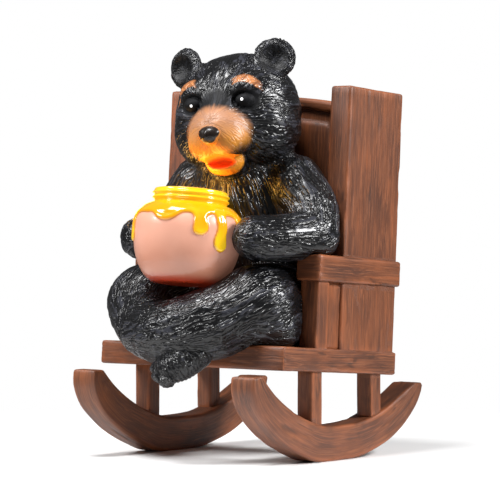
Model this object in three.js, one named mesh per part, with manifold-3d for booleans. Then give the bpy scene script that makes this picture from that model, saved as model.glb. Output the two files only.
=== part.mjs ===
// A cast resin garden ornament about 250 mm tall: a black bear sits cross-legged in a wooden-looking
// rocking chair and holds a glowing jar of honey, which a small solar panel on the chair's back feeds.
// Millimetres, +Z up. The bear looks along -Y, and its left side is +X.
// The chair stands rocked back a little, so its seat, arms and back lean by RECLINE while its
// rockers rest on short flat spots at z = 0.
import * as THREE from "three";
import { mergeVertices } from "three/addons/utils/BufferGeometryUtils.js";
import Module from "manifold-3d";

const wasm = await Module();
wasm.setup();

// Driving dimensions
const RECLINE = THREE.MathUtils.degToRad(3.9); // the chair's lean, back from upright
const BOX_CENTRE_Y = -3.2; // middle of the whole ornament's length before it is centred on the origin
const GAP = 0.35; // clear space where two castings meet
const BITE = 1; // how far the chair's boards run into each other, so that they are one casting

const SEAT = { halfWidth: 68, front: -58, back: 52, top: 64, thick: 14 };
const WING = { inner: 52.5, outer: 67.5, front: -4, back: 49.5, top: 216.6 };
const ARM = { inner: 51.5, outer: 69.5, front: -29.5, back: 51.5, top: 117.4, thick: 15.6, chamfer: 6 };
const POST = { inner: 54, outer: 67.5, board: 65.5 };
const POST_SPANS = [
  [-27.5, -16.5],
  [1, 14.5],
  [36.5, 49],
];
const BACK = {
  front: 16,
  back: 41,
  endTop: 206.8, // height of its top where it meets the wings
  archRise: 5.5,
  crestHeight: 6.5,
  crestProud: 3,
  bulge: 2, // how far its padded middle stands out
  bulgeHalfWidth: 42,
};
const LEG = { inner: 54.7, outer: 66, depth: 10.5, fronts: [-25, 33] };
const ROCKER = { inner: 50, outer: 67, edge: 1.2, upperLow: 20.4, upperCurve: 0.0045, legSink: 6 };
const PANEL = { width: 64, height: 44, thick: 4, middle: 150, recess: 2.2 };
const JAR = {
  centre: [0, -59.5, 101.5], // middle of its underside
  lean: THREE.MathUtils.degToRad(7.5),
  height: 54,
  baseRadius: 17,
  bellyRadius: 31,
  bellyHeight: 30,
  neckRadius: 21,
  neckHeight: 45,
  wall: 2.2,
  coat: 0.9, // thickness of the honey over the glass
  run: 1.3, // how far a run of honey stands out
  sunk: 1.2, // and how deep it starts inside the glass
  threads: [3.4, 6.2], // heights above the neck's foot at which its two rings stand out
  threadProud: 1.4,
};
// Each run of honey: its angle round the jar in degrees, from the front towards the bear's left,
// its width and the height that it runs down to
const HONEY_RUNS = [
  [-44, 9, 22],
  [12.5, 20, 33.5],
  [52, 9, 26],
  [77, 9, 18],
  [112, 14, 31],
  [148, 9, 24],
  [190, 16, 32],
  [228, 9, 21],
  [262, 12, 29],
  [292, 9, 25],
];
const HONEY_EDGE = 38.5; // height on the jar that the honey's edge keeps between its runs

// The head is turned a little to the bear's left and tipped to its right.
const HEAD = {
  centre: [3, -12, 201.5],
  turn: THREE.MathUtils.degToRad(15),
  tip: THREE.MathUtils.degToRad(-4.2),
};

// A solid from a three.js geometry, with its shared vertices merged and its empty triangles dropped
function solid(geometry) {
  const bare = new THREE.BufferGeometry();
  bare.setAttribute("position", geometry.getAttribute("position"));
  bare.setIndex(geometry.index);
  const merged = mergeVertices(bare, 1e-3);
  const corners = merged.index.array;
  const kept = [];
  for (let i = 0; i < corners.length; i += 3) {
    const [a, b, c] = [corners[i], corners[i + 1], corners[i + 2]];
    if (a !== b && b !== c && c !== a) kept.push(a, b, c);
  }
  return new wasm.Manifold(
    new wasm.Mesh({
      numProp: 3,
      vertProperties: merged.attributes.position.array,
      triVerts: new Uint32Array(kept),
    }),
  );
}

// A three.js geometry from a solid
function geometryOf(made) {
  const mesh = made.getMesh();
  const geometry = new THREE.BufferGeometry();
  const points = new Float32Array(mesh.numVert * 3);
  for (let i = 0; i < mesh.numVert; i++)
    points.set(mesh.vertProperties.subarray(i * mesh.numProp, i * mesh.numProp + 3), i * 3);
  geometry.setAttribute("position", new THREE.BufferAttribute(points, 3));
  geometry.setIndex(new THREE.BufferAttribute(mesh.triVerts, 1));
  geometry.computeVertexNormals();
  return geometry;
}

const joined = (solids) => solids.reduce((whole, next) => whole.add(next));

// A block from its lowest to its highest corner
function block(x0, x1, y0, y1, z0, z1) {
  const geometry = new THREE.BoxGeometry(x1 - x0, y1 - y0, z1 - z0);
  geometry.translate((x0 + x1) / 2, (y0 + y1) / 2, (z0 + z1) / 2);
  return geometry;
}

// A board cut to a side outline in (y, z), from x0 to x1, with its edges eased by ease
function sideBoard(outline, x0, x1, ease) {
  const geometry = new THREE.ExtrudeGeometry(outline, {
    depth: x1 - x0 - 2 * ease,
    bevelEnabled: ease > 0,
    bevelThickness: ease,
    bevelSize: ease,
    bevelOffset: -ease,
    bevelSegments: 1,
    curveSegments: 1,
  });
  // The outline's plane (x, y) becomes the part's (y, z), and the depth its x.
  geometry.applyMatrix4(new THREE.Matrix4().makeBasis(
    new THREE.Vector3(0, 1, 0), new THREE.Vector3(0, 0, 1), new THREE.Vector3(1, 0, 0)));
  geometry.translate(x0 + ease, 0, 0);
  return geometry;
}

// A board cut to a front outline in (x, z), from y0 to y1
function frontBoard(outline, y0, y1, ease) {
  const geometry = new THREE.ExtrudeGeometry(outline, {
    depth: y1 - y0 - 2 * ease,
    bevelEnabled: ease > 0,
    bevelThickness: ease,
    bevelSize: ease,
    bevelOffset: -ease,
    bevelSegments: 1,
    curveSegments: 1,
  });
  geometry.applyMatrix4(new THREE.Matrix4().makeBasis(
    new THREE.Vector3(1, 0, 0), new THREE.Vector3(0, 0, 1), new THREE.Vector3(0, -1, 0)));
  geometry.translate(0, y1 - ease, 0);
  return geometry;
}

function rectangle(a0, a1, b0, b1) {
  const shape = new THREE.Shape();
  shape.moveTo(a0, b0);
  shape.lineTo(a1, b0);
  shape.lineTo(a1, b1);
  shape.lineTo(a0, b1);
  shape.closePath();
  return shape;
}

const leaned = (geometry) => geometry.rotateX(-RECLINE);
const bothSides = (made) => [made, made.mirror([1, 0, 0])];

// The rocking chair
function rockerOutline() {
  // Under edge from the front tip to the back tip: steep horns, long shallow curves and a flat spot
  const under = new THREE.SplineCurve([
    [-79.5, 51.5], [-80, 42], [-75, 31], [-64.5, 21], [-50, 11.8], [-33, 4.5], [-17, 0],
  ].map(([y, z]) => new THREE.Vector2(y, z)));
  const underBack = new THREE.SplineCurve([
    [16, 0], [34, 3.2], [52, 8.8], [67, 17], [79, 27.5], [85, 37], [84.5, 41],
  ].map(([y, z]) => new THREE.Vector2(y, z)));
  const upper = new THREE.SplineCurve([
    [77, 41], [62, 34], [46, 27], [28, 22], [8, 20.4],
    [-12, 21], [-28, 25], [-44, 31.5], [-58, 40], [-71.5, 51.5],
  ].map(([y, z]) => new THREE.Vector2(y, z)));
  return new THREE.Shape([...under.getPoints(10), ...underBack.getPoints(10), ...upper.getPoints(14)]);
}

// Height of the rockers' upper edge, near enough for the legs to stand in it
const rockerTopAt = (y) => ROCKER.upperLow + ROCKER.upperCurve * y * y;

// A board with an arched top, seen from the front
function backOutline(halfWidth, bottom, endTop, rise) {
  const steps = 12;
  const shape = new THREE.Shape();
  shape.moveTo(-halfWidth, bottom);
  shape.lineTo(halfWidth, bottom);
  for (let i = 0; i <= steps; i++) {
    const x = halfWidth * (1 - (2 * i) / steps);
    shape.lineTo(x, endTop + rise * Math.cos((x / halfWidth) * (Math.PI / 2)));
  }
  shape.closePath();
  return shape;
}

function makeChair() {
  const seatUnder = SEAT.top - SEAT.thick;
  const armUnder = ARM.top - ARM.thick;
  const seat = solid(leaned(sideBoard(
    rectangle(SEAT.front, SEAT.back, seatUnder, SEAT.top), -SEAT.halfWidth, SEAT.halfWidth, 1)));
  const right = [];
  right.push(solid(leaned(sideBoard(
    rectangle(WING.front, WING.back, SEAT.top - 2 * BITE, WING.top), WING.inner, WING.outer, 1.5))));
  const armEnd = new THREE.Shape();
  armEnd.moveTo(ARM.inner, armUnder);
  armEnd.lineTo(ARM.outer, armUnder);
  armEnd.lineTo(ARM.outer, ARM.top);
  armEnd.lineTo(ARM.inner + ARM.chamfer, ARM.top);
  armEnd.lineTo(ARM.inner, ARM.top - ARM.chamfer);
  armEnd.closePath();
  right.push(solid(leaned(frontBoard(armEnd, ARM.front, ARM.back, 1))));
  right.push(solid(leaned(block(
    POST.inner, POST.board, POST_SPANS[0][0] + BITE, POST_SPANS[2][1] - BITE, SEAT.top - BITE, armUnder + BITE))));
  for (const [y0, y1] of POST_SPANS)
    right.push(solid(leaned(block(POST.inner, POST.outer, y0, y1, SEAT.top - BITE, armUnder + BITE))));
  for (const front of LEG.fronts) {
    const foot = rockerTopAt(front + LEG.depth / 2) - ROCKER.legSink;
    right.push(solid(block(LEG.inner, LEG.outer, front, front + LEG.depth, foot, seatUnder + 2 * BITE)));
  }
  right.push(solid(sideBoard(rockerOutline(), ROCKER.inner, ROCKER.outer, ROCKER.edge)));

  const backHalf = WING.inner + BITE;
  const back = solid(leaned(frontBoard(
    backOutline(backHalf, SEAT.top - 2 * BITE, BACK.endTop, BACK.archRise), BACK.front, BACK.back, 0)));
  const crest = solid(leaned(frontBoard(
    backOutline(backHalf, BACK.endTop - BACK.crestHeight, BACK.endTop + 0.8, BACK.archRise),
    BACK.front - BACK.crestProud, BACK.back + 1, 1)));
  const bulgeTop = BACK.endTop - BACK.crestHeight - 4;
  const bulge = solid(leaned(frontBoard(
    rectangle(-BACK.bulgeHalfWidth, BACK.bulgeHalfWidth, SEAT.top, bulgeTop),
    BACK.front - BACK.bulge, BACK.back, 2)));
  const recess = solid(leaned(block(
    -PANEL.width / 2 - GAP, PANEL.width / 2 + GAP, BACK.back - PANEL.recess - GAP, BACK.back + 10,
    PANEL.middle - PANEL.height / 2 - GAP, PANEL.middle + PANEL.height / 2 + GAP)));
  const half = joined(right);
  return joined([seat, back, bulge, crest, ...bothSides(half)]).subtract(recess);
}

// The solar panel: a cell under a clear cover, sunk into the back of the chair
function makeSolarPanel() {
  const { width, height, middle } = PANEL;
  const y0 = BACK.back - PANEL.recess;
  return solid(leaned(frontBoard(
    rectangle(-width / 2, width / 2, middle - height / 2, middle + height / 2), y0, y0 + PANEL.thick, 0.6)));
}

// The honey jar: outside radius at a height, from its foot to the rim of its neck
function jarRadius(z) {
  const { baseRadius, bellyRadius, bellyHeight, neckRadius, neckHeight } = JAR;
  if (z >= neckHeight) return neckRadius;
  const below = z < bellyHeight;
  const reach = below ? bellyHeight : neckHeight - bellyHeight;
  const end = below ? baseRadius : neckRadius;
  const t = Math.min(1, Math.abs(z - bellyHeight) / reach);
  return end + (bellyRadius - end) * Math.pow(1 - Math.pow(t, 2.3), 0.62);
}

function lathe(profile, segments) {
  // LatheGeometry turns a profile about Y, so the result is laid over to turn about Z.
  const outline = profile.map(([r, z]) => new THREE.Vector2(r, z));
  return new THREE.LatheGeometry(outline, segments).rotateX(Math.PI / 2);
}

// Heights at which the jar's outline is drawn, closer together where it turns in to its foot and its neck
function jarHeights(rows) {
  const { bellyHeight, neckHeight } = JAR;
  const heights = [];
  for (let i = -rows; i <= rows; i++) {
    const part = Math.sin((i / rows) * (Math.PI / 2));
    heights.push(bellyHeight + part * (i < 0 ? bellyHeight : neckHeight - bellyHeight));
  }
  return heights;
}

// The jar's outline, grown outwards, with the two rings of its neck
function jarProfile(grow) {
  const { height, neckHeight, neckRadius, threads, threadProud } = JAR;
  const points = [[0, -grow]];
  jarHeights(5).forEach((z, i) => points.push([jarRadius(z) + grow, i === 0 ? -grow : z]));
  points.push([neckRadius + grow, neckHeight + threads[0] - threadProud]);
  for (const ring of threads) {
    points.push([neckRadius + threadProud + grow, neckHeight + ring]);
    points.push([neckRadius + grow, neckHeight + ring + threadProud]);
  }
  points.push([neckRadius + grow, height + grow]);
  return points;
}

function jarCavity() {
  const { height, wall } = JAR;
  const floor = wall * 1.5;
  const points = [[0, floor]];
  jarHeights(4).forEach((z) => {
    if (z > floor) points.push([jarRadius(z) - wall, z]);
  });
  points.splice(1, 0, [jarRadius(floor) - wall, floor]);
  points.push([JAR.neckRadius - wall, height + 5]);
  points.push([0, height + 5]);
  return points;
}

const jarPlace = new THREE.Matrix4()
  .makeTranslation(...JAR.centre)
  .multiply(new THREE.Matrix4().makeRotationX(-JAR.lean));

// Height on the jar of the honey's edge at a turn round it, in degrees from the front
function honeyEdge(turn) {
  let edge = HONEY_EDGE;
  for (const [angle, width, low] of HONEY_RUNS) {
    const away = THREE.MathUtils.euclideanModulo(turn - angle + 180, 360) - 180;
    const across = THREE.MathUtils.degToRad(away) * JAR.bellyRadius / (width / 2);
    if (Math.abs(across) >= 1) continue;
    edge = Math.min(edge, HONEY_EDGE - (HONEY_EDGE - low) * Math.sqrt(1 - across ** 4));
  }
  return edge;
}

// The honey: a skin over the jar's shoulder that ends below in a rounded lip along the honey's edge
function honeyCoat(segments) {
  const rows = [
    { share: 0, out: -JAR.sunk },
    { share: 0, out: JAR.run * 0.4 },
    { share: 0.07, out: JAR.run },
    { share: 0.3, out: JAR.coat },
    { share: 0.65, out: JAR.coat },
    { share: 1, out: JAR.coat },
  ];
  const profile = [new THREE.Vector2(0, HONEY_EDGE)];
  for (const { share } of rows) profile.push(new THREE.Vector2(1, HONEY_EDGE + share));
  profile.push(new THREE.Vector2(0, JAR.neckHeight + 1));
  const geometry = new THREE.LatheGeometry(profile, segments);
  const position = geometry.getAttribute("position");
  for (let i = 0; i <= segments; i++) {
    const turn = (360 * i) / segments;
    rows.forEach(({ share, out }, row) => {
      const z = THREE.MathUtils.lerp(honeyEdge(turn % 360), JAR.neckHeight + 1, share);
      const r = jarRadius(z) + out;
      const angle = THREE.MathUtils.degToRad(turn);
      position.setXYZ(i * profile.length + row + 1, r * Math.sin(angle), z, r * Math.cos(angle));
    });
  }
  return geometry.rotateX(Math.PI / 2);
}

function makeJar() {
  const segments = 28;
  const glass = jarProfile(0);
  glass.push([0, JAR.height]);
  const outside = solid(lathe(glass, segments)).add(solid(honeyCoat(80)));
  const whole = outside.subtract(solid(lathe(jarCavity(), segments)));
  return solid(geometryOf(whole).applyMatrix4(jarPlace));
}

// A rounded limb through stations {at, r}: a capsule bent along a curve, its radius eased between stations.
// Its flutes are shallow locks of fur that run along it and wind round it by twist.
function limb(stations, { sides, rings, caps, flutes = 0, depth = 0, twist = 0 }) {
  const points = stations.map((s) => new THREE.Vector3(...s.at));
  const curve = new THREE.CatmullRomCurve3(points, false, "centripetal");
  const geometry = new THREE.CapsuleGeometry(1, 1, caps, sides, rings);
  const position = geometry.getAttribute("position");
  const last = stations.length - 1;
  const radiusAt = (t) => {
    const i = Math.min(last - 1, Math.floor(t * last));
    const f = THREE.MathUtils.smoothstep(t * last - i, 0, 1);
    return stations[i].r * (1 - f) + stations[i + 1].r * f;
  };
  const upright = new THREE.Vector3(0, 0, 1);
  for (let i = 0; i < position.count; i++) {
    const [x, y, z] = [position.getX(i), position.getY(i), position.getZ(i)];
    const t = THREE.MathUtils.clamp(y + 0.5, 0, 1);
    const beyond = y > 0.5 ? y - 0.5 : y < -0.5 ? y + 0.5 : 0;
    const tangent = curve.getTangent(t);
    const across = new THREE.Vector3().crossVectors(tangent, upright).normalize();
    const out = new THREE.Vector3().crossVectors(across, tangent).normalize();
    const angle = Math.atan2(z, x) + twist * t;
    const groove = flutes ? 1 - depth * (0.5 + 0.5 * Math.cos(flutes * angle)) * (1 - beyond * beyond) : 1;
    const r = radiusAt(t) * groove;
    const point = curve.getPoint(t)
      .addScaledVector(tangent, beyond * radiusAt(t))
      .addScaledVector(across, x * r)
      .addScaledVector(out, z * r);
    position.setXYZ(i, point.x, point.y, point.z);
  }
  return facingOut(geometry);
}

// Turns every face of a closed geometry round if they point inwards
function facingOut(geometry) {
  const position = geometry.getAttribute("position");
  const corners = geometry.index.array;
  const [a, b, c] = [new THREE.Vector3(), new THREE.Vector3(), new THREE.Vector3()];
  let volume = 0;
  for (let i = 0; i < corners.length; i += 3) {
    a.fromBufferAttribute(position, corners[i]);
    b.fromBufferAttribute(position, corners[i + 1]);
    c.fromBufferAttribute(position, corners[i + 2]);
    volume += a.dot(b.cross(c));
  }
  if (volume < 0)
    for (let i = 0; i < corners.length; i += 3)
      [corners[i + 1], corners[i + 2]] = [corners[i + 2], corners[i + 1]];
  return geometry;
}

// An egg-shaped lump. Its poles lie along Y, or along Z if upright, and its flutes run from pole to pole.
function lump(centre, radii, { around = 20, along = 12, upright = false, flutes = 0, depth = 0 } = {}) {
  const geometry = new THREE.SphereGeometry(1, around, along);
  const position = geometry.getAttribute("position");
  for (let i = 0; i < position.count; i++) {
    const [x, y, z] = [position.getX(i), position.getY(i), position.getZ(i)];
    const angle = Math.atan2(z, x);
    const groove = 1 - depth * (0.5 + 0.5 * Math.cos(flutes * angle)) * (1 - y * y);
    position.setXYZ(i, x * groove, y, z * groove);
  }
  if (upright) geometry.rotateX(Math.PI / 2);
  geometry.scale(...radii);
  geometry.translate(...centre);
  return geometry;
}

// The bear's head, in its own frame: the middle of the skull is the origin, and it looks along -Y
function makeHead() {
  const skull = lump([0, 0, 0], [37, 34, 34.5], { around: 26, along: 10, flutes: 13, depth: 0.04 });
  const muzzle = lump([0, -28, -13], [19.5, 19.5, 16.5], { around: 18, along: 9 });
  const lowerJaw = lump([0, -22, -29.5], [12.5, 14.5, 9], { around: 14, along: 7 });
  const nose = lump([0, -46, -14.5], [6.6, 4.4, 5.2], { around: 12, along: 6 });
  const forms = [skull, muzzle, lowerJaw, nose];
  for (const s of [-1, 1]) {
    const cheek = lump([s * 15.5, -4, -12.5], [21, 24, 20.5], { around: 16, along: 8, flutes: 8, depth: 0.06 });
    const brow = limb([
      { at: [s * 12.5, -29.5, 16], r: 2.8 },
      { at: [s * 18, -27, 17.5], r: 3.2 },
      { at: [s * 24, -23, 11.5], r: 2.4 },
    ], { sides: 8, rings: 4, caps: 2 });
    const eye = lump([s * 16, -28.5, 4.5], [6.6, 4.4, 5], { around: 12, along: 6 });
    forms.push(cheek, brow, eye);
  }
  const solids = forms.map(solid);
  for (const s of [-1, 1]) solids.push(makeEar(s));
  // The open mouth is a wedge cut between the muzzle and the lower jaw.
  const mouth = solid(lump([0, -36, -29], [8.5, 12, 3], { around: 14, along: 6 }));
  const neck = solid(limb([
    { at: [0, 8, -10], r: 27 },
    { at: [-2, 10, -48], r: 31 },
  ], { sides: 14, rings: 2, caps: 2 }));
  return joined([...solids, neck]).subtract(mouth);
}

// A round ear: a thick disc with a hollow in front, its rim notched into locks of fur
function makeEar(s) {
  const rim = new THREE.SphereGeometry(1, 20, 6);
  const position = rim.getAttribute("position");
  for (let i = 0; i < position.count; i++) {
    const [x, y, z] = [position.getX(i), position.getY(i), position.getZ(i)];
    const notch = 1 - 0.035 * (1 + Math.cos(10 * Math.atan2(z, x)));
    position.setXYZ(i, x * 12 * notch, y * 5.5, z * 12 * notch);
  }
  const hollow = lump([0, -6.5, -0.5], [8.2, 5.5, 8.4], { around: 12, along: 6 });
  const place = new THREE.Matrix4().makeTranslation(s * 28.7, -7, 29)
    .multiply(new THREE.Matrix4().makeRotationZ(s * 0.36))
    .multiply(new THREE.Matrix4().makeRotationX(-0.12));
  return solid(rim.applyMatrix4(place)).subtract(solid(hollow.applyMatrix4(place)));
}

function makeBear(jarRoom, chairRoom) {
  const headPlace = new THREE.Matrix4().makeTranslation(...HEAD.centre)
    .multiply(new THREE.Matrix4().makeRotationZ(HEAD.turn))
    .multiply(new THREE.Matrix4().makeRotationY(HEAD.tip));
  const belly = lump([0, -3, 98], [39, 31, 36], { around: 20, along: 8, upright: true, flutes: 10, depth: 0.03 });
  const chest = lump([0, -2, 138], [39, 27, 33], { around: 20, along: 8, upright: true, flutes: 10, depth: 0.04 });
  const forms = [belly, chest];
  for (const s of [-1, 1]) {
    // Upper arm, forearm and paw in one, round the jar
    forms.push(limb([
      { at: [s * 35, 0, 160], r: 17.5 },
      { at: [s * 49, -3, 143], r: 16.5 },
      { at: [s * 55, -12, 131], r: 15 },
      { at: [s * 50, -31, 128], r: 14 },
      { at: [s * 41, -47, 128], r: 13 },
    ], { sides: 18, rings: 8, caps: 2, flutes: 9, depth: 0.08, twist: 0.6 }));
  }
  // Thighs, from the hips out to the knees, and the shins: the bear's left crosses in front.
  forms.push(limb([
    { at: [22, 0, 88], r: 23 },
    { at: [32, -20, 90], r: 24 },
    { at: [36, -38, 89], r: 23.5 },
  ], { sides: 18, rings: 3, caps: 2, flutes: 9, depth: 0.07, twist: 0.5 }));
  forms.push(limb([
    { at: [-22, 0, 88], r: 23 },
    { at: [-35, -20, 90], r: 24 },
    { at: [-42.5, -40.5, 89], r: 24 },
  ], { sides: 18, rings: 3, caps: 2, flutes: 9, depth: 0.07, twist: -0.5 }));
  forms.push(limb([
    { at: [36.5, -40, 88], r: 22.5 },
    { at: [20, -62, 79], r: 21 },
    { at: [-2, -70, 74], r: 18.5 },
    { at: [-20, -66, 76], r: 17 },
  ], { sides: 18, rings: 8, caps: 3, flutes: 9, depth: 0.08, twist: -0.7 }));
  forms.push(limb([
    { at: [-41.5, -40.5, 86], r: 22 },
    { at: [-24, -62, 76], r: 18 },
    { at: [2, -68, 66], r: 13 },
  ], { sides: 16, rings: 4, caps: 2, flutes: 8, depth: 0.06 }));
  // The foot that hangs over the front of the seat, with its toes
  forms.push(limb([
    { at: [17, -73, 60.5], r: 9.5 },
    { at: [7, -79.5, 55], r: 10 },
  ], { sides: 14, rings: 3, caps: 3 }));
  for (let i = 0; i < 4; i++) {
    const toe = [8.5 - 3.4 * i, -87.5 + 2.2 * i, 48.5 + 1.8 * i];
    forms.push(lump(toe, [4, 4, 4.4], { around: 8, along: 5 }));
  }
  const body = joined(forms.map(solid));
  const head = solid(geometryOf(makeHead()).applyMatrix4(headPlace));
  return body.add(head).subtract(jarRoom).subtract(chairRoom);
}

// The room that the bear leaves for its neighbours: each one's outside, GAP larger
function makeJarRoom() {
  const grown = jarProfile(JAR.run + GAP);
  grown.push([0, JAR.height + GAP]);
  return solid(lathe(grown, 44).applyMatrix4(jarPlace));
}

function makeChairRoom() {
  const g = GAP;
  const behind = WING.inner + 2; // the rooms for the back run into the rooms for the wings
  const above = WING.top + 6;
  const crestUnder = BACK.endTop - BACK.crestHeight - g;
  const rooms = [
    block(-SEAT.halfWidth - g, SEAT.halfWidth + g, SEAT.front - g, SEAT.back + g,
      SEAT.top - SEAT.thick - g, SEAT.top + g),
    block(-behind, behind, BACK.front - BACK.bulge - g, BACK.back + g, SEAT.top - 2, above),
    block(-behind, behind, BACK.front - BACK.crestProud - g, BACK.back + 2, crestUnder, above),
  ];
  for (const s of [-1, 1]) {
    const beside = ({ inner, outer }, ...rest) =>
      block(s > 0 ? inner - g : -outer - g, s > 0 ? outer + g : -inner + g, ...rest);
    rooms.push(beside(WING, WING.front - g, WING.back + g, SEAT.top, WING.top + g));
    rooms.push(beside(ARM, ARM.front - g, ARM.back + g, ARM.top - ARM.thick - g, ARM.top + g));
    rooms.push(beside(POST, POST_SPANS[0][0] - g, POST_SPANS[2][1] + g, SEAT.top, ARM.top));
  }
  return joined(rooms.map((room) => solid(leaned(room))));
}

const resinWood = new THREE.MeshStandardMaterial({ color: 0x8a5a3e, roughness: 0.55, metalness: 0 });
const blackFur = new THREE.MeshStandardMaterial({ color: 0x1c1b1d, roughness: 0.4, metalness: 0 });
const honeyGlass = new THREE.MeshStandardMaterial({ color: 0xf0b020, roughness: 0.25, metalness: 0 });
const solarCell = new THREE.MeshStandardMaterial({ color: 0x101a30, roughness: 0.15, metalness: 0.1 });

const ornament = new THREE.Group();
ornament.position.y = -BOX_CENTRE_Y;
function place(name, made, material) {
  const mesh = new THREE.Mesh(geometryOf(made), material);
  mesh.name = name;
  ornament.add(mesh);
}
place("rocking_chair", makeChair(), resinWood);
place("bear", makeBear(makeJarRoom(), makeChairRoom()), blackFur);
place("honey_jar", makeJar(), honeyGlass);
place("solar_panel", makeSolarPanel(), solarCell);

export default ornament;
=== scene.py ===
import math

import bpy
import numpy as np
from mathutils import Matrix, Vector


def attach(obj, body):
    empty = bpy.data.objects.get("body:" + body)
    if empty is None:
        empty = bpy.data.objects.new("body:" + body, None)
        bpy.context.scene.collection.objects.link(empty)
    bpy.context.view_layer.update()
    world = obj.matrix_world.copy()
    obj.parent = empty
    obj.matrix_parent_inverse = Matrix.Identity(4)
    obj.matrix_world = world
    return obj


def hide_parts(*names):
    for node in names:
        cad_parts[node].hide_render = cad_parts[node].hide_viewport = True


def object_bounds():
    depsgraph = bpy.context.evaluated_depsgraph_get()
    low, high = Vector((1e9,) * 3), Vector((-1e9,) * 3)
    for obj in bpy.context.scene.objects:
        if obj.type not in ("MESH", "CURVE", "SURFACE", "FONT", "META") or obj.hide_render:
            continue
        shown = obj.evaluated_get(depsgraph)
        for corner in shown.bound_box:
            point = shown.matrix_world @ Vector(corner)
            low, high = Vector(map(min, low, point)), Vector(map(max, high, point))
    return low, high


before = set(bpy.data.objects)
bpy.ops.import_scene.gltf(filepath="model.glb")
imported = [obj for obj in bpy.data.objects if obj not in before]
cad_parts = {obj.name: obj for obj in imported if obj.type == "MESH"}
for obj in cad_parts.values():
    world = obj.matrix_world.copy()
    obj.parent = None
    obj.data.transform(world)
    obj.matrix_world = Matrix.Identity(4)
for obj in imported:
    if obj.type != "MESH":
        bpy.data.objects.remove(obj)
cad_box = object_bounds()
scene = bpy.context.scene
scene.view_settings.view_transform = "Standard"

# The rocking chair
# The real chair is one hollow resin casting, carved to look like a chair of rough boards, painted reddish
# brown and rubbed bright along its edges. Each board is shaped and scraped here along its grain, then all
# are joined into one body. Seat, arms and back lean back a little, and the rockers stand on the ground.
MM = 0.001
AHEAD = np.array([0, 3.2, 0])  # millimetres from the modelling board's middle to the ornament's own middle
RECLINE = math.radians(3.9)
IN_SEAT = 62  # the height inside the seat where the back and the wings start
SEAT_LOW, SEAT_HIGH = (-68, -58, 50), (68, 52, 64)
WING_LOW, WING_HIGH = (52.5, -4, IN_SEAT), (67.5, 49.5, 216.6)
ARM_LOW, ARM_HIGH, ARM_CHAMFER = (51.5, -29.5, 101.8), (69.5, 51.5, 117.4), 6
POST_FOOT, POST_TOP = 63, 102.8
POST_INNER, POST_OUTER = 54, 67.5
POST_BOARD_LOW, POST_BOARD_HIGH = (POST_INNER, -26.5, POST_FOOT), (65.5, 48, POST_TOP)
POST_SPANS = [(-27.5, -16.5), (1, 14.5), (36.5, 49)]
LEG_INNER, LEG_OUTER, LEG_TOP, LEG_DEPTH, LEG_FRONTS = 54.7, 66, 53, 10.5, (-25, 33)
ROCKER_INNER, ROCKER_OUTER = 50, 67
# The rocker's side view, as places (y, z) from its front tip to its back tip
ROCKER_UNDER = [(-79.5, 51.5), (-80, 42), (-75, 31), (-64.5, 21), (-50, 11.8), (-33, 4.5), (-17, 0),
                (16, 0), (34, 3.2), (52, 8.8), (67, 17), (79, 27.5), (85, 37), (84.5, 41)]
ROCKER_UPPER = [(-71.5, 51.5), (-58, 40), (-44, 31.5), (-28, 25), (-12, 21), (8, 20.4), (28, 22), (46, 27),
                (62, 34), (77, 41)]
BACK_HALF, BACK_FRONT, BACK_REAR, BACK_TOP, BACK_ARCH = 53.5, 16, 41, 206.8, 5.5
CREST_HEIGHT, CREST_PROUD = 6.5, 3
PANEL_HALF_WIDTH, PANEL_HALF_HEIGHT, PANEL_MIDDLE, PANEL_SUNK = 32, 22, 150, 2.2
GAP = 0.35  # the room that each casting leaves to the next

coarse = 1


def length(v):
    return np.sqrt((v * v).sum(-1))


def unit(v):
    return v / np.maximum(length(v), 1e-9)[..., None]


def smooth(low, high, x):
    t = np.clip((x - low) / (high - low), 0, 1)
    return t * t * (3 - 2 * t)


def grain(points, seed):
    """Smooth noise from 0 to 1, one cell a unit wide."""
    cell = np.floor(points).astype(np.int64)
    f = points - cell
    f = f * f * (3 - 2 * f)
    out = 0
    for corner in range(8):
        c = np.array([corner & 1, corner >> 1 & 1, corner >> 2 & 1])
        n = (cell + c) @ np.array([73856093, 19349663, 83492791]) + seed * 1013904223
        n = (n ^ (n >> 13)) * 1274126177 & 0xFFFFFFFF
        n = (n ^ (n >> 16)) * 668265263 & 0xFFFFFFFF
        share = np.where(c, f, 1 - f).prod(1)
        out = out + share * ((n >> 8 & 0xFFFF) / 65535)
    return out


def leaned(points, angle=RECLINE):
    """Points of the upright chair, rocked back."""
    c, s = math.cos(angle), math.sin(angle)
    x, y, z = np.asarray(points, float).T
    return np.stack([x, y * c + z * s, z * c - y * s], 1)


def only(piece):
    bpy.ops.object.select_all(action="DESELECT")
    piece.select_set(True)
    bpy.context.view_layer.objects.active = piece


def read_points(piece):
    flat = np.empty(len(piece.data.vertices) * 3)
    piece.data.vertices.foreach_get("co", flat)
    return flat.reshape(-1, 3) / MM


def read_normals(piece):
    flat = np.empty(len(piece.data.vertices) * 3)
    piece.data.vertex_normals.foreach_get("vector", flat)
    return flat.reshape(-1, 3)


def write_points(piece, points):
    piece.data.vertices.foreach_set("co", (points * MM).ravel())
    piece.data.update()


def note(piece, name, values):
    """Keeps a number or a vector at each point of the piece, for its paint."""
    values = np.asarray(values, float)
    kind, field = ("FLOAT_VECTOR", "vector") if values.ndim == 2 else ("FLOAT", "value")
    attribute = piece.data.attributes.get(name) or piece.data.attributes.new(name, kind, "POINT")
    attribute.data.foreach_set(field, values.ravel())


def apply_modifier(piece, kind, **settings):
    only(piece)
    modifier = piece.modifiers.new(kind.lower(), kind)
    for name, value in settings.items():
        setattr(modifier, name, value)
    bpy.ops.object.modifier_apply(modifier=modifier.name)


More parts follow.
